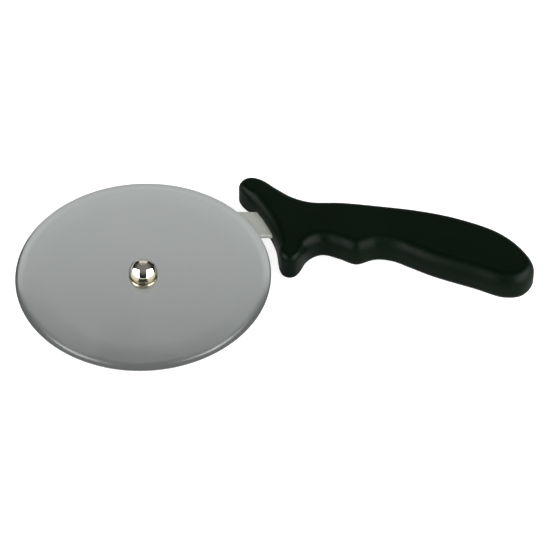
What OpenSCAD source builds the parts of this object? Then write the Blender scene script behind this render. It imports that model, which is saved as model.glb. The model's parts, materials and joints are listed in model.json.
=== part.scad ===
// Pastry cutter wheel: a flat disc that turns on a riveted axle, an arm behind it and a moulded handle.
// It lies as it is put down: on the rivet's formed tail and on the two prongs of the finger guard.
// x runs from the wheel towards the handle's tail, y across it, and z up. z = 0 is the table.

/* [Wheel] */
// Diameter of the wheel over its cutting edge
wheel_d = 101.6; // [85:0.1:125]
// Thickness of the wheel's flat middle
wheel_t = 1.5; // [1.2:0.1:2.5]
// Thickness left at the cutting edge
edge_t = 0.4; // [0.3:0.1:0.8]
// Width of the ground bevel beside the cutting edge
bevel_w = 2.8; // [1.5:0.1:4]
// Width of the shallow relief inside the bevel
relief_w = 3.4; // [2:0.1:6]
// How far the relief drops below the flat face
relief_drop = 0.08; // [0.04:0.01:0.15]

/* [Axle] */
// Diameter of the rivet's shank
shank_d = 5; // [3:0.1:6]
// Diameter of the sleeve that the wheel turns on
sleeve_d = 7; // [6.8:0.1:9]
// Diameter of the rivet's domed head
head_d = 11.4; // [10:0.1:16]
// Height of the plain band under the dome
head_band_h = 0.7; // [0.4:0.1:1.5]
// Height of the dome over its band
dome_h = 5; // [2:0.1:5]
// Diameter of the rivet's formed tail
tail_d = 8.4; // [7:0.1:9.5]
// Height of the formed tail
tail_h = 1.5; // [1:0.1:3]
// Diameter of the washer in front of the wheel
front_washer_d = 10; // [9.5:0.1:16]
// Thickness of the washer in front of the wheel
front_washer_t = 0.5; // [0.3:0.1:1.5]
// Diameter of the washer between the wheel and the arm
rear_washer_d = 14; // [10:0.1:18]
// Thickness of the washer between the wheel and the arm
rear_washer_t = 1; // [0.6:0.1:2]
// Diameter of the burr, the washer under the formed tail
burr_d = 11; // [10:0.1:16]
// Thickness of the burr
burr_t = 0.8; // [0.5:0.1:1.5]

/* [Arm] */
// Thickness of the arm
arm_t = 2; // [1.5:0.1:3]
// Width of the arm
arm_w = 13; // [10:0.5:16]
// Diameter of the round eye that takes the rivet
eye_d = 19; // [17:0.5:24]
// Radius of the arm's bend, at the middle of its width
bend_r = 13; // [10:0.5:16]
// Width of the tang inside the handle
tang_w = 9; // [7:0.5:11]
// Length of the tang inside the handle
tang_l = 58; // [40:1:70]
// Diameter of the two holes that key the tang to the handle
tang_hole_d = 4.6; // [3:0.1:5.5]

/* [Handle] */
// Length of the handle from the front of its guard to its tail
handle_l = 106; // [90:1:130]
// Thickness of the handle between its two flat sides
handle_t = 13.2; // [11:0.1:18]
// Width of the grip over the first finger groove
grip_w = 21.5; // [19:0.5:26]
// Radius round the edges of the flat sides
edge_r = 3.8; // [2:0.1:4.6]
// Gap between the wheel's rim and the middle of the guard
rim_gap = 6.2; // [4:0.1:12]
// Reach from the middle of the guard to the centre of its upper prong's round end
guard_up = 18.9; // [16:0.1:24]
// Reach from the middle of the guard to the centre of its lower prong's round end
guard_down = 18.5; // [16:0.1:24]

/* [Fits] */
// Radial clearance of the wheel on its sleeve
running_clearance = 0.05; // [0.02:0.01:0.1]
// Clearance between the wheel and the washer on each side of it
side_play = 0.1; // [0.05:0.01:0.3]
// Radial clearance of the shank in the pieces that it clamps
rivet_clearance = 0.02; // [0.01:0.01:0.05]
// Gap between the tang and the plastic moulded round it
moulding_gap = 0.02; // [0.01:0.01:0.05]

/* [Hidden] */
$fn = 96;

wheel_r = wheel_d / 2;
bore_d = sleeve_d + 2 * running_clearance;
shank_hole_d = shank_d + 2 * rivet_clearance;

// Heights over the middle of the wheel, which is z = 0 until the tool is laid down
sleeve_l = wheel_t + 2 * side_play;
front_z = sleeve_l / 2;
head_z = front_z + front_washer_t;
arm_front_z = -front_z - rear_washer_t;
arm_back_z = arm_front_z - arm_t;
arm_mid_z = (arm_front_z + arm_back_z) / 2;
burr_back_z = arm_back_z - burr_t;

// The handle's own origin is where the rim's gap crosses the middle of the guard
guard_angle = 30;
guard_x = (wheel_r + rim_gap) * cos(guard_angle);
guard_y = (wheel_r + rim_gap) * sin(guard_angle);

// The arm leaves the eye on a slope and bends level behind the rim
neck_y = guard_y + 1.7;
bend_x = guard_x - 15;
bend_centre = [bend_x, neck_y - bend_r];
slope = atan2(bend_centre.y, bend_centre.x) + asin(bend_r / norm(bend_centre));

// The full-width arm ends inside the guard, and the narrow tang goes on from there
shoulder_x = guard_x + 9;
tang_y = guard_y - 2;
tang_end_x = guard_x + tang_l;
tang_holes = [tang_end_x - 30, tang_end_x - 10];

// Centres and radii of the round ends of the two prongs
upper_tip = [-6.7, guard_up];
upper_tip_r = 5.1;
lower_tip = [8.9, -guard_down];
lower_tip_r = 4.2;

// The handle's outline, once round from the upper prong. The belly hangs off the back by the grip's width
// and the tail's points stand off the handle's end.
upper_prong = concat(arc(upper_tip, upper_tip_r, 205, 80, 4), [[-1.6, guard_up + 3.7], [3.9, guard_up - 1]]);
back = [[10, 13.3], [17, 10.5], [30, 10], [45, 8.1], [62, 5.3]];
tail = [[handle_l - 29, 1], [handle_l - 13, -6.8], [handle_l - 3.8, -16.6], [handle_l, -26],
        [handle_l - 4.3, -33], [handle_l - 12, -34.2], [handle_l - 24, -29.3]];
belly = [[66, -1.3 - grip_w], [56, 4 - grip_w], [50, 7.1 - grip_w]];
grooves = [[43.5, 8 - grip_w], [35.5, 5.3 - grip_w], [28, 8.6 - grip_w], [22, 10.5 - grip_w],
           [17.2, 8 - grip_w]];
lower_prong = arc(lower_tip, lower_tip_r, -25, -172, 4);
guard_front = [[3.1, -9], [0.2, 0], [-4.5, 10.3]];
outline_points = concat(upper_prong, back, tail, belly, grooves, lower_prong, guard_front);
outline_steps = 4;
outline = closed_spline(outline_points, outline_steps);

// Points along an arc
function arc(centre, r, from, to, steps) = [
    for (i = [0 : steps])
        let (a = from + (to - from) * i / steps)
            centre + r * [cos(a), sin(a)]
];

// The value at t of what is a at ta and b at tb
function between(a, b, ta, tb, t) = (a * (tb - t) + b * (t - ta)) / (tb - ta);

// The point a share s of the way from b to c on the smooth curve through a, b, c and d
function spline_point(a, b, c, d, s) =
    let (
        tb = sqrt(norm(b - a)),
        tc = tb + sqrt(norm(c - b)),
        td = tc + sqrt(norm(d - c)),
        t = tb + s * (tc - tb),
        ab = between(a, b, 0, tb, t),
        bc = between(b, c, tb, tc, t),
        cd = between(c, d, tc, td, t)
    )
    between(between(ab, bc, 0, tc, t), between(bc, cd, tb, td, t), tb, tc, t);

function closed_spline(points, steps) = [
    let (n = len(points))
    for (i = [0 : n - 1])
        for (s = [0 : steps - 1])
            spline_point(points[i], points[(i + 1) % n], points[(i + 2) % n], points[(i + 3) % n], s / steps)
];

// The outward direction at point i of a closed clockwise outline
function outward(points, i) =
    let (
        n = len(points),
        along = points[(i + 1) % n] - points[(i + n - 1) % n]
    )
    [-along.y, along.x] / norm(along);

// Radius round the flat sides' edges at a point of the outline. At the prongs' ends it is a share of their radius.
prong_share = 0.6;
function edge_radius(p) = min(edge_r, prong_share * norm(p - upper_tip), prong_share * norm(p - lower_tip));

// Where the wheel's bevel begins, and half its thickness there
bevel_r = wheel_r - bevel_w;
bevel_z = wheel_t / 2 - relief_drop;

// The radius of the sphere that a dome is the cap of
function dome_radius(base_d, h) = (base_d ^ 2 / 4 + h ^ 2) / (2 * h);

// Lying down: the formed tail and the flat sides of the two prongs touch the table, so the tool leans
prongs = upper_tip - lower_tip;
heading = atan2(-prongs.x, prongs.y);
prong_flat_r = (1 - prong_share) * upper_tip_r;
prong_centre = [guard_x + upper_tip.x, guard_y + upper_tip.y];
prong_reach = prong_centre * [cos(heading), sin(heading)] - prong_flat_r;
tail_sphere_r = dome_radius(tail_d, tail_h);
tail_sphere_z = burr_back_z - tail_h + tail_sphere_r;
drop = tail_sphere_z - arm_mid_z + handle_t / 2;
lean = atan2(drop, prong_reach) - asin(tail_sphere_r / norm([prong_reach, drop]));
lift = tail_sphere_r - tail_sphere_z * cos(lean);
mid_x = (guard_x + handle_l - wheel_r) / 2;
mid_y = (guard_y + upper_tip.y + upper_tip_r - wheel_r) / 2;

module lying() {
    translate([-mid_x, -mid_y, lift])
        rotate(a = -lean, v = [-sin(heading), cos(heading), 0])
            children();
}

module washer(outer_d, inner_d, t) {
    difference() {
        cylinder(d = outer_d, h = t);
        translate([0, 0, -1])
            cylinder(d = inner_d, h = t + 2);
    }
}

// A shallow dome on its flat base: the cap of a sphere
module dome(base_d, h) {
    sphere_r = dome_radius(base_d, h);
    rotate_extrude()
        intersection() {
            translate([0, h - sphere_r])
                circle(r = sphere_r);
            square([base_d / 2, h]);
        }
}

module cutting_wheel() {
    profile = [
        [bore_d / 2, -wheel_t / 2], [bevel_r - relief_w, -wheel_t / 2], [bevel_r, -bevel_z],
        [wheel_r, -edge_t / 2], [wheel_r, edge_t / 2],
        [bevel_r, bevel_z], [bevel_r - relief_w, wheel_t / 2], [bore_d / 2, wheel_t / 2]
    ];
    color([0.64, 0.66, 0.66])
        lying()
            rotate_extrude($fn = 180)
                polygon(profile);
}

module axle_rivet() {
    color([0.86, 0.82, 0.74])
        lying() {
            translate([0, 0, burr_back_z])
                cylinder(d = shank_d, h = head_z - burr_back_z);
            translate([0, 0, head_z])
                cylinder(d = head_d, h = head_band_h);
            translate([0, 0, head_z + head_band_h])
                dome(head_d, dome_h);
            translate([0, 0, burr_back_z])
                mirror([0, 0, 1])
                    dome(tail_d, tail_h);
        }
}

module axle_sleeve() {
    color([0.7, 0.7, 0.69])
        lying()
            translate([0, 0, -sleeve_l / 2])
                washer(sleeve_d, shank_hole_d, sleeve_l);
}

module front_washer() {
    color([0.7, 0.7, 0.69])
        lying()
            translate([0, 0, front_z])
                washer(front_washer_d, shank_hole_d, front_washer_t);
}

module rear_washer() {
    color([0.7, 0.7, 0.69])
        lying()
            translate([0, 0, arm_front_z])
                washer(rear_washer_d, shank_hole_d, rear_washer_t);
}

module rivet_burr() {
    color([0.7, 0.7, 0.69])
        lying()
            translate([0, 0, burr_back_z])
                washer(burr_d, shank_hole_d, burr_t);
}

// The slope, the bend and the level neck, from the eye's centre to the shoulder where the tang begins
module arm_strip() {
    side = arm_w / 2 * [-sin(slope), cos(slope)];
    outer_side = arc(bend_centre, bend_r + arm_w / 2, 90 + slope, 90, 16);
    inner_side = arc(bend_centre, bend_r - arm_w / 2, 90, 90 + slope, 16);
    shoulder = [[shoulder_x, neck_y + arm_w / 2], [shoulder_x, neck_y - arm_w / 2]];
    polygon(concat([side], outer_side, shoulder, inner_side, [-side]));
}

// The tang, grown all round by a margin
module tang_outline(margin) {
    translate([shoulder_x - tang_w / 2, tang_y - tang_w / 2 - margin])
        square([tang_end_x - shoulder_x, tang_w + 2 * margin]);
    translate([tang_end_x - tang_w / 2, tang_y])
        circle(d = tang_w + 2 * margin);
}

module support_arm() {
    color([0.6, 0.62, 0.59])
        lying()
            translate([0, 0, arm_back_z])
                difference() {
                    union() {
                        cylinder(d = eye_d, h = arm_t);
                        linear_extrude(arm_t)
                            arm_strip();
                        linear_extrude(arm_t)
                            tang_outline(0);
                    }
                    translate([0, 0, -1])
                        cylinder(d = shank_hole_d, h = arm_t + 2);
                    for (x = tang_holes)
                        translate([x, tang_y, -1])
                            cylinder(d = tang_hole_d, h = arm_t + 2);
                }
}

// Room for the tang in the handle, with the plastic that fills the tang's holes left standing
module tang_pocket() {
    translate([0, 0, arm_back_z - moulding_gap])
        linear_extrude(arm_t + 2 * moulding_gap)
            difference() {
                union() {
                    translate([bend_x, neck_y - arm_w / 2 - moulding_gap])
                        square([shoulder_x - bend_x + moulding_gap, arm_w + 2 * moulding_gap]);
                    tang_outline(moulding_gap);
                }
                for (x = tang_holes)
                    translate([x, tang_y])
                        circle(d = tang_hole_d - 2 * moulding_gap);
            }
}

// The handle's skin: rings of points round the outline, one over the other, drawn in at the two flat sides.
// It is closed by a cone past each flat side, where it is cut off.
module handle_skin() {
    n = len(outline);
    steps = 6;
    overcut = 0.01;
    turns = concat([for (k = [-steps : 0]) [k, -1]], [for (k = [0 : steps]) [k, 1]]);
    rings = [
        for (turn = turns)
            let (a = 90 * turn[0] / steps)
                [for (i = [0 : n - 1])
                    let (
                        r = edge_radius(outline[i]),
                        p = outline[i] - outward(outline, i) * r * (1 - cos(a))
                    )
                    [p.x, p.y, r * sin(a) + turn[1] * (handle_t / 2 + overcut - r)]]
    ];
    last = len(rings) - 1;
    points = concat([for (ring = rings) each ring], [[0, 0, -handle_t], [0, 0, handle_t]]);
    walls = [
        for (k = [0 : last - 1])
            for (i = [0 : n - 1])
                let (j = (i + 1) % n)
                    each [[k * n + i, (k + 1) * n + j, k * n + j], [k * n + i, (k + 1) * n + i, (k + 1) * n + j]]
    ];
    lower_cone = [for (i = [0 : n - 1]) [i, (i + 1) % n, len(points) - 2]];
    upper_cone = [for (i = [0 : n - 1]) [last * n + i, len(points) - 1, last * n + (i + 1) % n]];
    polyhedron(points, concat(walls, lower_cone, upper_cone));
}

module handle() {
    color([0.05, 0.09, 0.06])
        lying()
            difference() {
                translate([guard_x, guard_y, arm_mid_z])
                    intersection() {
                        handle_skin();
                        translate([-handle_l, -handle_l, -handle_t / 2])
                            cube([3 * handle_l, 2 * handle_l, handle_t]);
                    }
                tang_pocket();
            }
}

cutting_wheel();
axle_rivet();
axle_sleeve();
front_washer();
rear_washer();
rivet_burr();
support_arm();
handle();
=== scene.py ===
import json
import math

import bmesh
import bpy
from mathutils import Matrix, Vector


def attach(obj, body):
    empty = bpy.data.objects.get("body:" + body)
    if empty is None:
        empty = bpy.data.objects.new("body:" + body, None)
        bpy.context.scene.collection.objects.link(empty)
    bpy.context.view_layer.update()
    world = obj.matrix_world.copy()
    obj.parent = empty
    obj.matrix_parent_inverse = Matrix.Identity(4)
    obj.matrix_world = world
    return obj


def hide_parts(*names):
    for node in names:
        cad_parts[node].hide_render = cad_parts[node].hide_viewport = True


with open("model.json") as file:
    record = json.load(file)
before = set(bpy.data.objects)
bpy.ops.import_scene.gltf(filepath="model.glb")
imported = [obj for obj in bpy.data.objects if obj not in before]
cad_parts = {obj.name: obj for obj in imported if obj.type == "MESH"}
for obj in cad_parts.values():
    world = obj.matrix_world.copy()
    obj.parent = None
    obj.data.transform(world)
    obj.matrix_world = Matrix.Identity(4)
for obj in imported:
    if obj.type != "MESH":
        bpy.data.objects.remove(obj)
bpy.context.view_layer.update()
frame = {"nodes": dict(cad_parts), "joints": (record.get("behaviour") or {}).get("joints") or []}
mm = 0.001

# Every piece is drawn square to the axle, with the wheel's middle at the origin, and then laid down with it.
spin = frame["joints"][0]
leanOver = Vector((0, 0, 1)).rotation_difference(Vector(spin["axis"]))
toolPlace = Matrix.Translation(spin["pos_m"]) @ leanOver.to_matrix().to_4x4()


# The points of a CAD node, square to the axle
def squareSpots(node):
    toTool = toolPlace.inverted()
    return [toTool @ v.co for v in frame["nodes"][node].data.vertices]


def squareCorners(node):
    spots = squareSpots(node)
    low = Vector([min(p[i] for p in spots) for i in range(3)])
    high = Vector([max(p[i] for p in spots) for i in range(3)])
    return low, high


def roundSizes(node):
    spots = squareSpots(node)
    reach = [math.hypot(p.x, p.y) for p in spots]
    heights = [p.z for p in spots]
    return {"bore": min(reach), "radius": max(reach), "low": min(heights), "high": max(heights)}


# Node helpers

def addNode(tree, kind, inputs=None, **settings):
    node = tree.nodes.new(kind)
    for name, value in settings.items():
        setattr(node, name, value)
    for name, value in (inputs or {}).items():
        if isinstance(value, bpy.types.NodeSocket):
            tree.links.new(value, node.inputs[name])
        else:
            node.inputs[name].default_value = value
    return node


def maths(tree, operation, first, second=0.0, third=0.0, clamp=False):
    inputs = {0: first, 1: second, 2: third}
    return addNode(tree, "ShaderNodeMath", inputs, operation=operation, use_clamp=clamp).outputs[0]


def vectorMaths(tree, operation, inputs):
    return addNode(tree, "ShaderNodeVectorMath", inputs, operation=operation)


def spread(tree, value, fromLow, fromHigh, toLow, toHigh):
    inputs = {"Value": value, "From Min": fromLow, "From Max": fromHigh, "To Min": toLow, "To Max": toHigh}
    return addNode(tree, "ShaderNodeMapRange", inputs, interpolation_type="SMOOTHSTEP").outputs["Result"]


def blendColours(tree, share, first, second):
    node = addNode(tree, "ShaderNodeMix", {0: share}, data_type="RGBA")
    for index, colour in ((6, first), (7, second)):
        if isinstance(colour, bpy.types.NodeSocket):
            tree.links.new(colour, node.inputs[index])
        else:
            node.inputs[index].default_value = (*colour, 1)
    return node.outputs[2]


def cloud(tree, vector, scale, detail, roughness=0.5):
    inputs = {"Vector": vector, "Scale": scale, "Detail": detail, "Roughness": roughness}
    return addNode(tree, "ShaderNodeTexNoise", inputs).outputs[0]


def newGroup(name, inputs, outputs):
    tree = bpy.data.node_groups.new(name, "ShaderNodeTree")
    for label, kind, start in inputs:
        socket = tree.interface.new_socket(label, in_out="INPUT", socket_type=kind)
        if start is not None:
            socket.default_value = start
    for label in outputs:
        tree.interface.new_socket(label, in_out="OUTPUT", socket_type="NodeSocketFloat")
    return tree, tree.nodes.new("NodeGroupInput"), tree.nodes.new("NodeGroupOutput")


def useGroup(tree, group, **inputs):
    node = tree.nodes.new("ShaderNodeGroup")
    node.node_tree = group
    for name, value in inputs.items():
        if isinstance(value, bpy.types.NodeSocket):
            tree.links.new(value, node.inputs[name])
        else:
            node.inputs[name].default_value = value
    return node


# Straight mill grain: streaks along x. Streaks and lines are given in metres.
def makeMillGrain():
    inputs = [
        ("Vector", "NodeSocketVector", None),
        ("Length", "NodeSocketFloat", 0.02),
        ("Width", "NodeSocketFloat", 0.0002),
    ]
    tree, given, made = newGroup("millGrain", inputs, ["Height"])
    parts = addNode(tree, "ShaderNodeSeparateXYZ", {0: given.outputs["Vector"]})
    along = maths(tree, "DIVIDE", parts.outputs["X"], given.outputs["Length"])
    across = maths(tree, "DIVIDE", parts.outputs["Y"], given.outputs["Width"])
    deep = maths(tree, "DIVIDE", parts.outputs["Z"], given.outputs["Width"])
    stretched = addNode(tree, "ShaderNodeCombineXYZ", {"X": along, "Y": across, "Z": deep}).outputs[0]
    tree.links.new(cloud(tree, stretched, 1.0, 4.0, 0.65), made.inputs["Height"])
    return tree


# Lines round the axle, as a lathe or a grinding wheel leaves
def makeTurnedLines():
    inputs = [
        ("Vector", "NodeSocketVector", None),
        ("Width", "NodeSocketFloat", 0.0002),
        ("Length", "NodeSocketFloat", 0.02),
    ]
    tree, given, made = newGroup("turnedLines", inputs, ["Height", "Reach"])
    parts = addNode(tree, "ShaderNodeSeparateXYZ", {0: given.outputs["Vector"]})
    flat = addNode(tree, "ShaderNodeCombineXYZ", {"X": parts.outputs["X"], "Y": parts.outputs["Y"]})
    reach = vectorMaths(tree, "LENGTH", {0: flat.outputs[0]}).outputs["Value"]
    line = maths(tree, "DIVIDE", reach, given.outputs["Width"])
    besideX = maths(tree, "DIVIDE", parts.outputs["X"], given.outputs["Length"])
    besideY = maths(tree, "DIVIDE", parts.outputs["Y"], given.outputs["Length"])
    wrapped = addNode(tree, "ShaderNodeCombineXYZ", {"X": line, "Y": besideX, "Z": besideY}).outputs[0]
    tree.links.new(cloud(tree, wrapped, 1.0, 3.0, 0.6), made.inputs["Height"])
    tree.links.new(reach, made.inputs["Reach"])
    return tree


# Hairline scratches from use, in two directions and in patches

hairlineLook = {
    "directions": ((0.5, 0.0), (-0.85, 7.3)),
    "stretch": (0.035, 1.6, 0.6),
    "cut": (0.66, 0.72),
    "patchScale": 60.0,
    "patchCut": (0.42, 0.62),
    "patchLeast": 0.15,
}


def makeHairlines(look):
    inputs = [
        ("Vector", "NodeSocketVector", None),
        ("Spacing", "NodeSocketFloat", 0.002),
        ("Amount", "NodeSocketFloat", 0.5),
    ]
    tree, given, made = newGroup("hairlines", inputs, ["Mask"])
    place = given.outputs["Vector"]
    perSpacing = maths(tree, "DIVIDE", 1.0, given.outputs["Spacing"])
    masks = []
    for turn, offset in look["directions"]:
        turning = {"Vector": place, "Rotation": (0, 0, turn), "Location": (offset, offset, 0)}
        turned = addNode(tree, "ShaderNodeMapping", turning).outputs[0]
        scaled = vectorMaths(tree, "SCALE", {0: turned, "Scale": perSpacing}).outputs[0]
        stretched = vectorMaths(tree, "MULTIPLY", {0: scaled, 1: look["stretch"]}).outputs[0]
        masks.append(spread(tree, cloud(tree, stretched, 1.0, 2.0), *look["cut"], 0.0, 1.0))
    both = maths(tree, "MAXIMUM", *masks)
    patchy = cloud(tree, place, look["patchScale"], 2.0)
    patches = spread(tree, patchy, *look["patchCut"], look["patchLeast"], 1.0)
    inPatches = maths(tree, "MULTIPLY", both, patches)
    shown = maths(tree, "MULTIPLY", inPatches, given.outputs["Amount"], clamp=True)
    tree.links.new(shown, made.inputs["Mask"])
    return tree


# Soft, slow change over the surface: handling film on metal, flow and sinking in plastic

filmLook = {"detail": 2.0, "roughness": 0.45, "cut": (0.3, 0.7)}


def makeFilm(look):
    inputs = [("Vector", "NodeSocketVector", None), ("Size", "NodeSocketFloat", 0.02)]
    tree, given, made = newGroup("film", inputs, ["Value"])
    perSize = maths(tree, "DIVIDE", 1.0, given.outputs["Size"])
    wide = cloud(tree, given.outputs["Vector"], perSize, look["detail"], look["roughness"])
    tree.links.new(spread(tree, wide, *look["cut"], 0.0, 1.0), made.inputs["Value"])
    return tree


millGrain = makeMillGrain()
turnedLines = makeTurnedLines()
hairlines = makeHairlines(hairlineLook)
film = makeFilm(filmLook)


def newMaterial(name):
    material = bpy.data.materials.new(name)
    material.use_nodes = True
    tree = material.node_tree
    shader = tree.nodes["Principled BSDF"]
    lying = addNode(tree, "ShaderNodeTexCoord").outputs["Object"]
    square = toolPlace.inverted()
    turn = {"Vector": lying, "Rotation": square.to_euler(), "Location": square.to_translation()}
    place = addNode(tree, "ShaderNodeMapping", turn).outputs[0]
    return material, tree, shader, place


def raised(tree, height, depth, **over):
    inputs = {"Height": height, "Distance": depth, **over}
    return addNode(tree, "ShaderNodeBump", inputs).outputs["Normal"]


def scratchMask(tree, place, look):
    sizes = {"Spacing": look["scratchSpacing"], "Amount": look["scratches"]}
    return useGroup(tree, hairlines, Vector=place, **sizes).outputs["Mask"]


def filmValue(tree, place, size):
    return useGroup(tree, film, Vector=place, Size=size).outputs["Value"]


# What every steel shares: the tones its roughness follows, and how much smoother its scratches are
steelTone = {"cut": (0.2, 0.8), "scratchSmooth": 0.25}


# Roughness and colour of a piece of steel from its grain, its film and its scratches
def steelMaterial(name, look, grain):
    material, tree, shader, place = newMaterial(name)
    sizes = {"Length": look["grainLength"], "Width": look["grainWidth"]}
    grained = useGroup(tree, grain, Vector=place, **sizes).outputs["Height"]
    hazy = filmValue(tree, place, look["filmSize"])
    scratched = scratchMask(tree, place, look)
    tone = maths(tree, "MULTIPLY", maths(tree, "ADD", hazy, grained), 0.5)
    colour = blendColours(tree, tone, look["dark"], look["pale"])
    colour = blendColours(tree, scratched, colour, look["scratchColour"])
    tree.links.new(colour, shader.inputs["Base Color"])
    rough = spread(tree, tone, *steelTone["cut"], look["smooth"], look["rough"])
    rough = maths(tree, "MULTIPLY_ADD", scratched, -steelTone["scratchSmooth"] * look["smooth"], rough)
    tree.links.new(rough, shader.inputs["Roughness"])
    height = maths(tree, "MULTIPLY_ADD", scratched, -look["scratchDepth"], grained)
    tree.links.new(raised(tree, height, look["grainDepth"]), shader.inputs["Normal"])
    shader.inputs["Metallic"].default_value = 1.0
    return material, tree, shader, place


wheelSteel = {
    "pale": (0.640, 0.672, 0.664),
    "dark": (0.585, 0.610, 0.598),
    "scratchColour": (0.70, 0.72, 0.715),
    "smooth": 0.22,
    "rough": 0.26,
    "grainDepth": 0.000004,
    "grainLength": 0.03,
    "grainWidth": 0.00018,
    "filmSize": 0.03,
    "scratches": 0.12,
    "scratchSpacing": 0.0016,
    "scratchDepth": 0.3,
    "bevelBlend": (-0.8 * mm, 1.2 * mm),
    "bevelSmooth": 0.13,
    "bevelRough": 0.19,
    "lineCut": (0.3, 0.7),
    "lineWidth": 0.00012,
    "lineLength": 0.012,
    "lineDepth": 0.0000025,
}


# The satin face, with the bevel ground in finer lines round the axle
def makeWheelSteel(look, bevelStart):
    material, tree, shader, place = steelMaterial("satinWheelSteel", look, millGrain)
    lines = useGroup(tree, turnedLines, Vector=place, Width=look["lineWidth"], Length=look["lineLength"])
    blendFrom, blendTo = (bevelStart + away for away in look["bevelBlend"])
    ground = spread(tree, lines.outputs["Reach"], blendFrom, blendTo, 0.0, 1.0)
    faceRough = shader.inputs["Roughness"].links[0].from_socket
    lineHeight = lines.outputs["Height"]
    bevelRough = spread(tree, lineHeight, *look["lineCut"], look["bevelSmooth"], look["bevelRough"])
    rough = addNode(tree, "ShaderNodeMix", {0: ground, 2: faceRough, 3: bevelRough}).outputs[0]
    tree.links.new(rough, shader.inputs["Roughness"])
    faceNormal = shader.inputs["Normal"].links[0].from_socket
    groundHeight = maths(tree, "MULTIPLY", lineHeight, ground)
    tree.links.new(raised(tree, groundHeight, look["lineDepth"], Normal=faceNormal), shader.inputs["Normal"])
    return material


armSteel = {
    "pale": (0.87, 0.89, 0.82),
    "dark": (0.77, 0.79, 0.73),
    "scratchColour": (0.91, 0.92, 0.87),
    "smooth": 0.50,
    "rough": 0.60,
    "grainDepth": 0.000005,
    "grainLength": 0.012,
    "grainWidth": 0.0002,
    "filmSize": 0.015,
    "scratches": 0.6,
    "scratchSpacing": 0.0018,
    "scratchDepth": 0.6,
}

washerSteel = {
    "pale": (0.70, 0.70, 0.69),
    "dark": (0.60, 0.60, 0.59),
    "scratchColour": (0.78, 0.78, 0.77),
    "smooth": 0.22,
    "rough": 0.34,
    "grainDepth": 0.000004,
    "grainLength": 0.006,
    "grainWidth": 0.00015,
    "filmSize": 0.006,
    "scratches": 0.5,
    "scratchSpacing": 0.001,
    "scratchDepth": 0.4,
}

rivetNickel = {
    "pale": (0.90, 0.85, 0.76),
    "dark": (0.83, 0.77, 0.66),
    "scratchColour": (0.92, 0.88, 0.80),
    "brass": (0.88, 0.70, 0.42),
    "wornFrom": 0.4 * mm,
    "wornTo": 3.4 * mm,
    "wornShare": 0.85,
    "wearScale": 500.0,
    "wearDepth": 0.8 * mm,
    "smooth": 0.02,
    "rough": 0.045,
    "grainDepth": 0.0000006,
    "grainLength": 0.004,
    "grainWidth": 0.0002,
    "filmSize": 0.004,
    "scratches": 0.25,
    "scratchSpacing": 0.0008,
    "scratchDepth": 0.5,
}


# Nickel over brass: the plating is thin towards the foot of the head, where the warm metal shows
def makeRivetNickel(look, foot):
    material, tree, shader, place = steelMaterial("polishedRivetNickel", look, turnedLines)
    height = addNode(tree, "ShaderNodeSeparateXYZ", {0: place}).outputs["Z"]
    wear = cloud(tree, place, look["wearScale"], 2.0)
    patchy = maths(tree, "MULTIPLY_ADD", wear, look["wearDepth"], height)
    worn = spread(tree, patchy, foot + look["wornFrom"], foot + look["wornTo"], look["wornShare"], 0.0)
    plated = shader.inputs["Base Color"].links[0].from_socket
    tree.links.new(blendColours(tree, worn, plated, look["brass"]), shader.inputs["Base Color"])
    return material


handlePlastic = {
    "deep": (0.0002, 0.0026, 0.0007),
    "pale": (0.0005, 0.0038, 0.0013),
    # the lighter colour of the edge band is a painted highlight on the rounded ridge
    "ridgeHighlight": (0.0020, 0.0060, 0.0036),
    "smooth": 0.36,
    "rough": 0.46,
    "ior": 1.15,
    "flowSize": 0.028,
    "sinkSize": 0.017,
    "sinkDepth": 0.00007,
    "grainScale": 2600.0,
    "grainDepth": 0.000018,
    "scratchSpacing": 0.0022,
    "scratches": 0.35,
    "scratchDepth": 0.6,
    "scratchRough": 0.10,
    # the edge band: rubbed smoother, and painted lighter as a highlight
    "rubAndHighlightHeight": 0.80,
    "rubAndHighlightReach": 0.17,
    "rubAndHighlightScale": 140.0,
    "rubSmooth": 0.06,
}


# Along the rounded edges, a band on each side of the middle, given as shares of the half: it is smoother
# there where hands rub it, and its lighter colour is a painted highlight along the ridge
def makeHandlePlastic(look, middle, half):
    material, tree, shader, place = newMaterial("mouldedHandlePlastic")
    flow = filmValue(tree, place, look["flowSize"])
    sink = filmValue(tree, place, look["sinkSize"])
    scratched = scratchMask(tree, place, look)
    height = addNode(tree, "ShaderNodeSeparateXYZ", {0: place}).outputs["Z"]
    off = maths(tree, "ABSOLUTE", maths(tree, "SUBTRACT", height, middle))
    band = maths(tree, "ABSOLUTE", maths(tree, "SUBTRACT", off, look["rubAndHighlightHeight"] * half))
    worn = cloud(tree, place, look["rubAndHighlightScale"], 3.0, 0.6)
    rubAndHighlight = maths(tree, "MULTIPLY", spread(tree, band, 0.0, look["rubAndHighlightReach"] * half, 1.0, 0.0), worn)
    colour = blendColours(tree, flow, look["deep"], look["pale"])
    # Lighter colour in the band: painted highlight along the ridge; the smoother roughness below is the
    # rubbing
    colour = blendColours(tree, rubAndHighlight, colour, look["ridgeHighlight"])
    tree.links.new(colour, shader.inputs["Base Color"])
    rough = spread(tree, flow, 0.0, 1.0, look["smooth"], look["rough"])
    rough = maths(tree, "MULTIPLY_ADD", rubAndHighlight, -look["rubSmooth"], rough)
    rough = maths(tree, "MULTIPLY_ADD", scratched, look["scratchRough"], rough)
    tree.links.new(rough, shader.inputs["Roughness"])
    grain = cloud(tree, place, look["grainScale"], 2.0, 0.6)
    scored = maths(tree, "MULTIPLY_ADD", scratched, -look["scratchDepth"], grain)
    fine = raised(tree, scored, look["grainDepth"])
    tree.links.new(raised(tree, sink, look["sinkDepth"], Normal=fine), shader.inputs["Normal"])
    shader.inputs["IOR"].default_value = look["ior"]
    return material


# Mesh helpers

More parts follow.
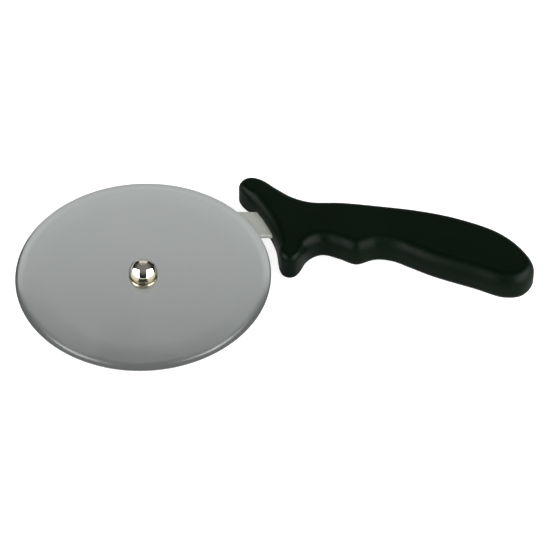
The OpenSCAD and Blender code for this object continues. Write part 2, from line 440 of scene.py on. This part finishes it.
# A path of (x, y, radius) corners with its corners rounded
def roundCorners(corners, steps, closed=True):
    path = []
    count = len(corners)
    for i, (x, y, radius) in enumerate(corners):
        here = Vector((x, y))
        if radius == 0 or (not closed and i in (0, count - 1)):
            path.append(here)
            continue
        before = (Vector(corners[i - 1][:2]) - here).normalized()
        after = (Vector(corners[(i + 1) % count][:2]) - here).normalized()
        half = before.angle(after) / 2
        centre = here + (before + after).normalized() * radius / math.sin(half)
        start = here + before * radius / math.tan(half) - centre
        end = here + after * radius / math.tan(half) - centre
        turn = math.atan2(start.x * end.y - start.y * end.x, start.dot(end))
        for k in range(steps + 1):
            angle = turn * k / steps
            path.append(centre + Matrix.Rotation(angle, 2) @ start)
    return path


def finishMesh(name, shape, sharpAngle=35):
    bmesh.ops.recalc_face_normals(shape, faces=shape.faces)
    mesh = bpy.data.meshes.new(name)
    shape.to_mesh(mesh)
    shape.free()
    mesh.shade_smooth()
    mesh.set_sharp_from_angle(angle=math.radians(sharpAngle))
    return mesh


def lathe(name, profile, turns, closed=True):
    shape = bmesh.new()
    rings = []
    for reach, height in profile:
        if reach < 1e-7:
            rings.append([shape.verts.new((0, 0, height))])
            continue
        angles = [2 * math.pi * i / turns for i in range(turns)]
        rings.append([shape.verts.new((reach * math.cos(a), reach * math.sin(a), height)) for a in angles])
    nextRings = rings[1:] + rings[:1] if closed else rings[1:]
    for lower, upper in zip(rings, nextRings):
        for i in range(turns):
            j = (i + 1) % turns
            corners = ((lower, i), (lower, j), (upper, j), (upper, i))
            around = [ring[k % len(ring)] for ring, k in corners]
            shape.faces.new(list(dict.fromkeys(around)))
    return finishMesh(name, shape)


# Puts a mesh in the place of a CAD node, on its body, in its finish
def standFor(node, mesh, material, body):
    piece = bpy.data.objects.new(mesh.name, mesh)
    bpy.context.scene.collection.objects.link(piece)
    mesh.transform(toolPlace)
    mesh.materials.append(material)
    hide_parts(node)
    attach(piece, body)
    return piece


# Lets the large flat faces lead the shading of the rounds beside them
def evenShading(piece):
    weighted = piece.modifiers.new("evenShading", "WEIGHTED_NORMAL")
    weighted.keep_sharp = True


# The wheel: flat, then a shallow relief, then the ground bevel. Each slope is what it reaches at the rim.

disc = {
    "reliefSlope": 0.045,
    "reliefReach": 13 * mm,
    "bevelSlope": 0.24,
    "bevelReach": 3.6 * mm,
    "edgeRound": 0.12 * mm,
    "boreRound": 0.15 * mm,
    "roundSteps": 6,
    "faceSteps": 36,
    "turns": 360,
}


# How far the face has dropped at a distance inside the rim
def faceDrop(inside):
    drop = 0.0
    for name, power in (("relief", 1), ("bevel", 2)):
        reach = disc[name + "Reach"]
        left = max(0.0, 1 - inside / reach)
        drop += disc[name + "Slope"] * reach / (power + 1) * left ** (power + 1)
    return drop


def makeWheel():
    size = roundSizes("cutting_wheel")
    half = (size["high"] - size["low"]) / 2
    steps = disc["faceSteps"]
    side = [(size["bore"], half, disc["boreRound"]), (2 * size["bore"], half, 0)]
    for k in range(steps):
        inside = disc["reliefReach"] * (1 - k / steps) ** 2
        side.append((size["radius"] - inside, half - faceDrop(inside), 0))
    side.append((size["radius"], half - faceDrop(0.0), disc["edgeRound"]))
    profile = roundCorners(side + [(x, -y, r) for x, y, r in reversed(side)], disc["roundSteps"])
    mesh = lathe("cuttingDisc", profile, disc["turns"])
    bevelStart = size["radius"] - disc["bevelReach"]
    steel = makeWheelSteel(wheelSteel, bevelStart)
    piece = standFor("cutting_wheel", mesh, steel, "wheel")
    evenShading(piece)
    return piece


wheelPiece = makeWheel()
print("wheel made")


# The axle: a rivet with a high domed head, and the washers that it holds

rivet = {
    "shankRadius": 2.5 * mm,
    "bandHeight": 0.7 * mm,
    "headRound": 0.18 * mm,
    "tailRadius": 4.2 * mm,
    "tailHeight": 1.5 * mm,
    "tailRound": 0.2 * mm,
    "roundSteps": 5,
    "domeSteps": 40,
    "turns": 128,
}


# The profile of a dome from its rim to its top, without its first point
def domeArc(radius, height, base, direction, steps):
    sphere = (radius ** 2 + height ** 2) / (2 * height)
    opening = math.asin(min(1.0, radius / sphere))
    if height > sphere:
        opening = math.pi - opening
    arc = []
    for k in range(1, steps + 1):
        angle = opening * (1 - k / steps)
        rise = height - sphere + sphere * math.cos(angle)
        arc.append((sphere * math.sin(angle), base + direction * rise))
    return arc


def makeRivet(nickel):
    size = roundSizes("axle_rivet")
    headBase = roundSizes("front_washer")["high"]
    tailBase = size["low"] + rivet["tailHeight"]
    bandTop = headBase + rivet["bandHeight"]
    head = domeArc(size["radius"], size["high"] - bandTop, bandTop, 1, rivet["domeSteps"])
    tail = domeArc(rivet["tailRadius"], rivet["tailHeight"], tailBase, -1, rivet["domeSteps"] // 2)
    corners = [
        (*tail[0], 0),
        (rivet["tailRadius"], tailBase, rivet["tailRound"]),
        (rivet["shankRadius"], tailBase, 0),
        (rivet["shankRadius"], headBase, 0),
        (size["radius"], headBase, rivet["headRound"]),
        (size["radius"], bandTop, 0),
    ]
    middle = [tuple(p) for p in roundCorners(corners, rivet["roundSteps"], closed=False)]
    mesh = lathe("domedRivet", tail[:0:-1] + middle + head, rivet["turns"], closed=False)
    standFor("axle_rivet", mesh, nickel, "frame")


washer = {"edgeRound": 0.12 * mm, "roundSteps": 4, "turns": 128}


def makeWasher(node, name, steel):
    size = roundSizes(node)
    edgeRound = washer["edgeRound"]
    corners = [
        (size["bore"], size["low"], edgeRound / 2),
        (size["radius"], size["low"], edgeRound),
        (size["radius"], size["high"], edgeRound),
        (size["bore"], size["high"], edgeRound / 2),
    ]
    mesh = lathe(name, roundCorners(corners, washer["roundSteps"]), washer["turns"])
    standFor(node, mesh, steel, "frame")


ringNames = {
    "front_washer": "headWasher",
    "axle_sleeve": "axleSleeve",
    "rear_washer": "spacerWasher",
    "rivet_burr": "rivetBurr",
}
plainSteel = steelMaterial("turnedWasherSteel", washerSteel, turnedLines)[0]
makeRivet(makeRivetNickel(rivetNickel, roundSizes("front_washer")["high"]))
for node, name in ringNames.items():
    makeWasher(node, name, plainSteel)
print("axle made")


# The arm and the handle share the place of the guard, where the gap at the rim crosses its middle

guard = {"rimGap": 6.2 * mm, "angle": math.radians(30)}
guardReach = roundSizes("cutting_wheel")["radius"] + guard["rimGap"]
guardSpot = Vector((guardReach * math.cos(guard["angle"]), guardReach * math.sin(guard["angle"])))

arm = {
    "width": 13 * mm,
    "eyeRadius": 9.5 * mm,
    "bendRadius": 13 * mm,
    "bendBack": 15 * mm,
    "neckRise": 1.7 * mm,
    "shoulder": 9 * mm,
    "tangWidth": 9 * mm,
    "tangDrop": 2 * mm,
    "tangLength": 58 * mm,
    "holes": (30 * mm, 10 * mm),
    "holeRadius": 2.3 * mm,
    "holeMargin": 0.02 * mm,
    "edgeRound": 0.22 * mm,
    "eyeSteps": 64,
    "bendSteps": 24,
    "holeSteps": 48,
}


def arcPoints(centre, radius, fromAngle, toAngle, steps):
    angles = [fromAngle + (toAngle - fromAngle) * k / steps for k in range(steps + 1)]
    return [Vector((centre[0] + radius * math.cos(a), centre[1] + radius * math.sin(a))) for a in angles]


# Once round the arm: the eye, the slope, the bend, the shoulder and the tang, grown by a margin
def armOutline(margin=0.0):
    half = arm["width"] / 2 + margin
    neckY = guardSpot.y + arm["neckRise"]
    bendCentre = Vector((guardSpot.x - arm["bendBack"], neckY - arm["bendRadius"]))
    slope = math.atan2(bendCentre.y, bendCentre.x) + math.asin(arm["bendRadius"] / bendCentre.length)
    level = math.pi / 2
    eyeSpan = math.asin(half / (arm["eyeRadius"] + margin))
    shoulderX = guardSpot.x + arm["shoulder"] + margin
    tangY = guardSpot.y - arm["tangDrop"]
    tangHalf = arm["tangWidth"] / 2 + margin
    tangEnd = (guardSpot.x + arm["tangLength"], tangY)
    eyeFrom, eyeTo = slope - eyeSpan, slope + eyeSpan - 2 * math.pi
    eye = arcPoints((0, 0), arm["eyeRadius"] + margin, eyeFrom, eyeTo, arm["eyeSteps"])
    outer = arcPoints(bendCentre, arm["bendRadius"] + half, level + slope, level, arm["bendSteps"])
    inner = arcPoints(bendCentre, arm["bendRadius"] - half, level, level + slope, arm["bendSteps"])
    shoulder = [
        Vector((shoulderX, neckY + half)),
        Vector((shoulderX, tangY + tangHalf)),
        *arcPoints(tangEnd, tangHalf, level, -level, arm["bendSteps"]),
        Vector((shoulderX, tangY - tangHalf)),
        Vector((shoulderX, neckY - half)),
    ]
    return eye + outer + shoulder + inner


# A plate of that outline, with its edges rounded
def plate(name, outline, low, high, edgeRound=0.0):
    shape = bmesh.new()
    face = shape.faces.new([shape.verts.new((p.x, p.y, low)) for p in outline])
    walls = bmesh.ops.extrude_face_region(shape, geom=[face])
    for vert in [v for v in walls["geom"] if isinstance(v, bmesh.types.BMVert)]:
        vert.co.z = high
    if edgeRound:
        rims = [e for e in shape.edges if abs(e.verts[0].co.z - e.verts[1].co.z) < 1e-9]
        bmesh.ops.bevel(shape, geom=rims, offset=edgeRound, segments=3, profile=0.5, affect="EDGES")
    return finishMesh(name, shape, sharpAngle=30)


# Cuts one mesh object with another, and keeps the result as a plain mesh
def cutAway(mesh, cutter):
    target = bpy.data.objects.new("cutTarget", mesh)
    tool = bpy.data.objects.new("cutTool", cutter)
    for o in (target, tool):
        bpy.context.scene.collection.objects.link(o)
    cut = target.modifiers.new("cut", "BOOLEAN")
    cut.object = tool
    cut.operation = "DIFFERENCE"
    cut.solver = "EXACT"
    depsgraph = bpy.context.evaluated_depsgraph_get()
    result = bpy.data.meshes.new_from_object(target.evaluated_get(depsgraph))
    result.name = mesh.name + "Cut"
    for o in (target, tool):
        bpy.data.objects.remove(o)
    return result


def makeArm():
    low, high = squareCorners("support_arm")
    mesh = plate("supportArm", armOutline(), low.z, high.z, arm["edgeRound"])
    holes = [(0.0, 0.0, rivet["shankRadius"] + arm["holeMargin"])]
    tangX = guardSpot.x + arm["tangLength"]
    holes += [(tangX - back, guardSpot.y - arm["tangDrop"], arm["holeRadius"]) for back in arm["holes"]]
    lastStep = arm["holeSteps"] - 1
    lastAngle = 2 * math.pi * lastStep / arm["holeSteps"]
    for x, y, radius in holes:
        rim = arcPoints((x, y), radius, 0, lastAngle, lastStep)
        mesh = cutAway(mesh, plate("drill", rim, low.z - mm, high.z + mm))
    mesh.name = "stampedArm"
    steel = steelMaterial("stampedArmSteel", armSteel, millGrain)[0]
    evenShading(standFor("support_arm", mesh, steel, "frame"))


makeArm()
print("arm made")


handle = {
    "length": 106 * mm,
    "gripWidth": 21.5 * mm,
    "frontRound": (4.6 * mm, 6.2 * mm),
    "backRound": (3.7 * mm, 3.7 * mm),
    "underRound": (3.8 * mm, 3.8 * mm),
    "frontFrom": 0.5,
    "upperTip": (-6.7 * mm, 18.9 * mm),
    "upperTipRadius": 5.1 * mm,
    "upperTipArc": (175, 80),
    "lowerTip": (8.9 * mm, -18.5 * mm),
    "lowerTipRadius": 4.2 * mm,
    "lowerTipArc": (-25, -172),
    "tipShare": 0.60,
    "tipSteps": 4,
    "curveSteps": 10,
    "roundSteps": 12,
    "seamWidth": 0.34 * mm,
    "seamHeight": 0.035 * mm,
    "pocketMargin": 0.02 * mm,
}


def tipPoints(name):
    fromAngle, toAngle = (math.radians(angle) for angle in handle[name + "Arc"])
    return arcPoints(handle[name], handle[name + "Radius"], fromAngle, toAngle, handle["tipSteps"])


# The outline from the guard's middle, x along the tool and y across it, with millimetres between the tips
def handlePoints():
    long = handle["length"] / mm
    wide = handle["gripWidth"] / mm
    upperProng = [(-1.6, 22.6), (3.9, 17.9)]
    back = [(10, 13.3), (17, 10.5), (30, 10), (45, 8.1), (62, 5.3)]
    tail = [
        (long - 29, 1),
        (long - 13, -6.8),
        (long - 3.8, -16.6),
        (long, -26),
        (long - 4.3, -33),
        (long - 12, -34.2),
        (long - 24, -29.3),
    ]
    belly = [(66, -1.3 - wide), (56, 4 - wide), (50, 7.1 - wide)]
    grooves = [(43.5, 8 - wide), (35.5, 5.3 - wide), (28, 8.6 - wide), (22, 10.5 - wide), (17.2, 8 - wide)]
    guardFront = [(3.1, -9), (-0.2, 0), (-5.6, 10)]
    around = [Vector(p) * mm for p in upperProng + back + tail + belly + grooves]
    front = [Vector(p) * mm for p in guardFront]
    return tipPoints("upperTip") + around + tipPoints("lowerTip") + front


# A smooth closed curve through the points, with steps that follow the square root of their distances
def closedCurve(points, steps):
    curve = []
    count = len(points)
    for i in range(count):
        a, b, c, d = (points[(i + k) % count] for k in range(4))
        tb = math.sqrt((b - a).length)
        tc = tb + math.sqrt((c - b).length)
        td = tc + math.sqrt((d - c).length)
        for k in range(steps):
            t = tb + (tc - tb) * k / steps
            ab = a.lerp(b, t / tb)
            bc = b.lerp(c, (t - tb) / (tc - tb))
            cd = c.lerp(d, (t - tc) / (td - tc))
            curve.append(ab.lerp(bc, t / tc).lerp(bc.lerp(cd, (t - tb) / (td - tb)), (t - tb) / (tc - tb)))
    return curve


# How far an edge's round goes in and down at a point of the outline. Over the fingers it is a long ellipse,
# and at the prongs' ends it is a share of their radius.
def edgeRounding(point, outward, side):
    front = min(max(handle["frontFrom"] - outward.y, 0.0), 1.0)
    back = Vector(handle["backRound"])
    size = back.lerp(Vector(handle["frontRound"]), front) if side > 0 else Vector(handle["underRound"])
    away = min((point - Vector(handle[name])).length for name in ("upperTip", "lowerTip"))
    return size * min(1.0, handle["tipShare"] * away / size.x)


def handleSkin(low, high):
    outline = closedCurve(handlePoints(), handle["curveSteps"])
    count = len(outline)
    middle, half = (low + high) / 2, (high - low) / 2
    steps = handle["roundSteps"]
    sections = [(math.pi / 2 * k / steps, -1) for k in range(-steps, 1)]
    sections += [(math.pi / 2 * k / steps, 1) for k in range(steps + 1)]
    shape = bmesh.new()

    def ring(side, place):
        made = []
        for i, point in enumerate(outline):
            along = outline[(i + 1) % count] - outline[i - 1]
            outward = Vector((-along.y, along.x)).normalized()
            inward, height = place(edgeRounding(point, outward, side))
            spot = guardSpot + point - outward * inward
            made.append(shape.verts.new((spot.x, spot.y, middle + height)))
        return made

    def rounded(angle, side):
        def place(size):
            sunk = handle["seamHeight"] + (size.x - handle["seamHeight"]) * (1 - math.cos(angle))
            return sunk, size.y * math.sin(angle) + side * (half - size.y)
        return ring(side, place)

    rings = [rounded(*section) for section in sections]
    seam = [
        ring(-1, lambda size: (handle["seamHeight"], -handle["seamWidth"] / 2)),
        ring(1, lambda size: (0.0, 0.0)),
        ring(1, lambda size: (handle["seamHeight"], handle["seamWidth"] / 2)),
    ]
    rings = rings[: steps + 1] + seam + rings[steps + 1 :]
    for lower, upper in zip(rings, rings[1:]):
        for i in range(count):
            j = (i + 1) % count
            shape.faces.new([lower[i], lower[j], upper[j], upper[i]])
    shape.faces.new(rings[0])
    shape.faces.new(rings[-1])
    return finishMesh("handleSkin", shape, sharpAngle=40)


def makeHandle():
    low, high = squareCorners("handle")
    armLow, armHigh = squareCorners("support_arm")
    margin = handle["pocketMargin"]
    pocket = plate("pocket", armOutline(margin), armLow.z - margin, armHigh.z + margin)
    mesh = cutAway(handleSkin(low.z, high.z), pocket)
    mesh.name = "mouldedHandle"
    plastic = makeHandlePlastic(handlePlastic, (low.z + high.z) / 2, (high.z - low.z) / 2)
    evenShading(standFor("handle", mesh, plastic, "frame"))


makeHandle()
print("handle made")


# The floor, the lights and the camera

studio = {
    "floorSize": 40.0,
    "floorColour": (0.48, 0.48, 0.48),
    "floorShade": 0.985,
    "floorMottle": 0.4,
    "floorRough": 0.9,
    "floorGlow": 0.86,
    "floorGlowUnseen": 0.28,
    "roomColour": (1.0, 1.0, 1.0),
    "roomLow": 0.02,
    "roomHigh": 0.21,
    "roomRise": (0.25, 0.95),
    "backdrop": 0.96,
}

# Azimuth is from the front, to the right. The glow is a panel's own brightness.
softbox = {
    "azimuth": 67,
    "elevation": 12.2,
    "away": 0.70,
    "facing": (62, 19.4),
    "roll": -32,
    "size": (0.86, 0.90),
    "glow": 6.5,
}

# The flat wheel mirrors a softbox whole, so it has dimmer ones of its own
wheelSoftbox = {**softbox, "glow": 1.15}

backPanel = {
    "azimuth": 180,
    "elevation": 28.6,
    "away": 0.9,
    "facing": (180, 30),
    "roll": 0,
    "size": (0.68, 0.66),
    "glow": 0.565,
}

# The wheel mirrors one of these when it is seen from a front corner
cornerPanel = {
    "azimuth": 128,
    "elevation": 22,
    "away": 0.9,
    "facing": (128, 22),
    "roll": 0,
    "size": (0.50, 0.42),
    "glow": 0.42,
}

# Two small high lamps, whose glints run along the rim
highLamp = {"elevation": 58, "away": 1.1, "roll": 0, "size": (0.09, 0.09), "glow": 1.3}
leftLamp = {**highLamp, "azimuth": -161, "facing": (-161, 58)}
rightLamp = {**highLamp, "azimuth": 169, "facing": (169, 58)}


def makeFloor():
    material, tree, shader, place = newMaterial("paleFloor")
    mottle = filmValue(tree, place, studio["floorMottle"])
    shade = [c * studio["floorShade"] for c in studio["floorColour"]]
    colour = blendColours(tree, mottle, shade, studio["floorColour"])
    tree.links.new(colour, shader.inputs["Base Color"])
    shader.inputs["Roughness"].default_value = studio["floorRough"]
    shader.inputs["Specular IOR Level"].default_value = 0.0
    seen = addNode(tree, "ShaderNodeLightPath").outputs["Is Camera Ray"]
    glow = spread(tree, seen, 0.0, 1.0, studio["floorGlowUnseen"], studio["floorGlow"])
    tree.links.new(glow, shader.inputs["Emission Color"])
    shader.inputs["Emission Strength"].default_value = 1.0
    clear = tree.nodes.new("ShaderNodeBsdfTransparent")
    behind = addNode(tree, "ShaderNodeNewGeometry").outputs["Backfacing"]
    both = addNode(tree, "ShaderNodeMixShader", {0: behind, 1: shader.outputs[0], 2: clear.outputs[0]})
    tree.links.new(both.outputs[0], tree.nodes["Material Output"].inputs["Surface"])
    shape = bmesh.new()
    bmesh.ops.create_grid(shape, x_segments=8, y_segments=8, size=studio["floorSize"] / 2)
    mesh = bpy.data.meshes.new("studioFloor")
    shape.to_mesh(mesh)
    shape.free()
    mesh.materials.append(material)
    floor = bpy.data.objects.new("studioFloor", mesh)
    bpy.context.scene.collection.objects.link(floor)


def wayTo(azimuth, elevation):
    azimuth, elevation = math.radians(azimuth), math.radians(elevation)
    flat = math.cos(elevation)
    return Vector((math.sin(azimuth) * flat, -math.cos(azimuth) * flat, math.sin(elevation)))


# A soft rectangle of light: side is 1 as given and -1 for its mirror image
def makePanel(name, panel, side=1):
    light = bpy.data.lights.new(name, "AREA")
    light.shape = "RECTANGLE"
    light.size, light.size_y = panel["size"]
    light.energy = panel["glow"] * math.pi * light.size * light.size_y
    lamp = bpy.data.objects.new(name, light)
    bpy.context.scene.collection.objects.link(lamp)
    spot = wayTo(side * panel["azimuth"], panel["elevation"]) * panel["away"]
    facing = wayTo(side * panel["facing"][0], panel["facing"][1]).to_track_quat("Z", "Y")
    roll = Matrix.Rotation(math.radians(side * panel["roll"]), 4, "Z")
    lamp.matrix_world = toolPlace @ Matrix.Translation(spot) @ facing.to_matrix().to_4x4() @ roll
    return lamp


# Lights one piece alone with a lamp, or every piece but that one
def lightPiece(lamp, piece, state):
    group = bpy.data.collections.new(lamp.name + "Pieces")
    group.objects.link(piece)
    group.collection_objects[0].light_linking.link_state = state
    lamp.light_linking.receiver_collection = group


# A dim room, brighter overhead, in front of a pale backdrop
def makeWorld():
    world = bpy.data.worlds.new("softRoom")
    world.use_nodes = True
    tree = world.node_tree
    way = addNode(tree, "ShaderNodeTexCoord").outputs["Generated"]
    up = addNode(tree, "ShaderNodeSeparateXYZ", {0: way}).outputs["Z"]
    room = spread(tree, up, *studio["roomRise"], studio["roomLow"], studio["roomHigh"])
    seen = addNode(tree, "ShaderNodeLightPath").outputs["Is Camera Ray"]
    shown = maths(tree, "MULTIPLY", seen, studio["backdrop"])
    tree.links.new(maths(tree, "MAXIMUM", room, shown), tree.nodes["Background"].inputs["Strength"])
    tree.nodes["Background"].inputs["Color"].default_value = (*studio["roomColour"], 1)
    bpy.context.scene.world = world


viewing = {
    "elevation": 46.96,
    "away": 1.33,
    "along": 52.3 * mm,
    "lens": 219.3,
    "sensor": 36.0,
    "clip": (0.05, 100.0),
}


def makeCamera():
    camera = bpy.data.cameras.new("viewCamera")
    camera.lens = viewing["lens"]
    camera.sensor_width = viewing["sensor"]
    camera.clip_start, camera.clip_end = viewing["clip"]
    holder = bpy.data.objects.new("viewCamera", camera)
    bpy.context.scene.collection.objects.link(holder)
    aim = Matrix.Translation((viewing["along"], 0, 0))
    tilt = Matrix.Rotation(math.radians(90 - viewing["elevation"]), 4, "X")
    holder.matrix_world = toolPlace @ aim @ tilt @ Matrix.Translation((0, 0, viewing["away"]))
    bpy.context.scene.camera = holder


makeFloor()
makeWorld()
for side, name in ((-1, "left"), (1, "right")):
    lightPiece(makePanel(name + "Panel", softbox, side), wheelPiece, "EXCLUDE")
    lightPiece(makePanel(name + "WheelPanel", wheelSoftbox, side), wheelPiece, "INCLUDE")
    lightPiece(makePanel(name + "CornerPanel", cornerPanel, side), wheelPiece, "INCLUDE")
makePanel("backPanel", backPanel)
makePanel("leftLamp", leftLamp)
makePanel("rightLamp", rightLamp)
makeCamera()
bpy.context.scene.view_settings.view_transform = "Standard"
print("studio made")
